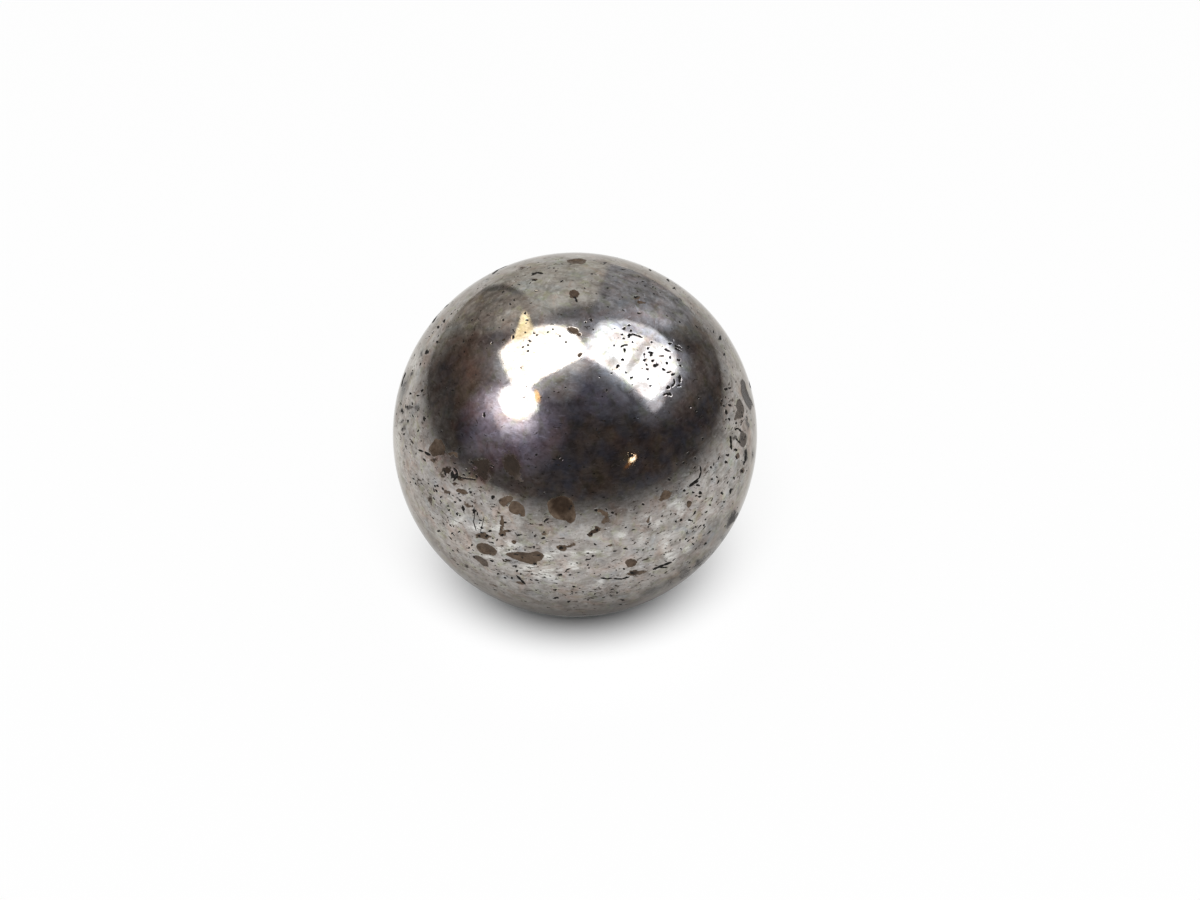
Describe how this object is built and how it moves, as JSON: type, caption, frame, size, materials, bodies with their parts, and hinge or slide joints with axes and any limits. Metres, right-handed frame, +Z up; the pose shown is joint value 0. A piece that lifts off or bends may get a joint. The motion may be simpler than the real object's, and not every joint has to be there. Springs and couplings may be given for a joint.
{
  "type": "steel ball",
  "caption": "Solid steel ball with a worn polished skin, brown rust hollows and fine pits, for rolling on a track or seating in a cup.",
  "frame": {"origin": "centre of the ball", "axes": "+Z up, through the top of the ball as it lies; -Y towards the side with the large rust hollows, which is the side shown"},
  "size_m": [0.05, 0.05, 0.05],
  "materials": {
    "steel": "gloss"
  },
  "bodies": {
    "root": {"steel_ball": "steel"}
  },
  "joints": []
}
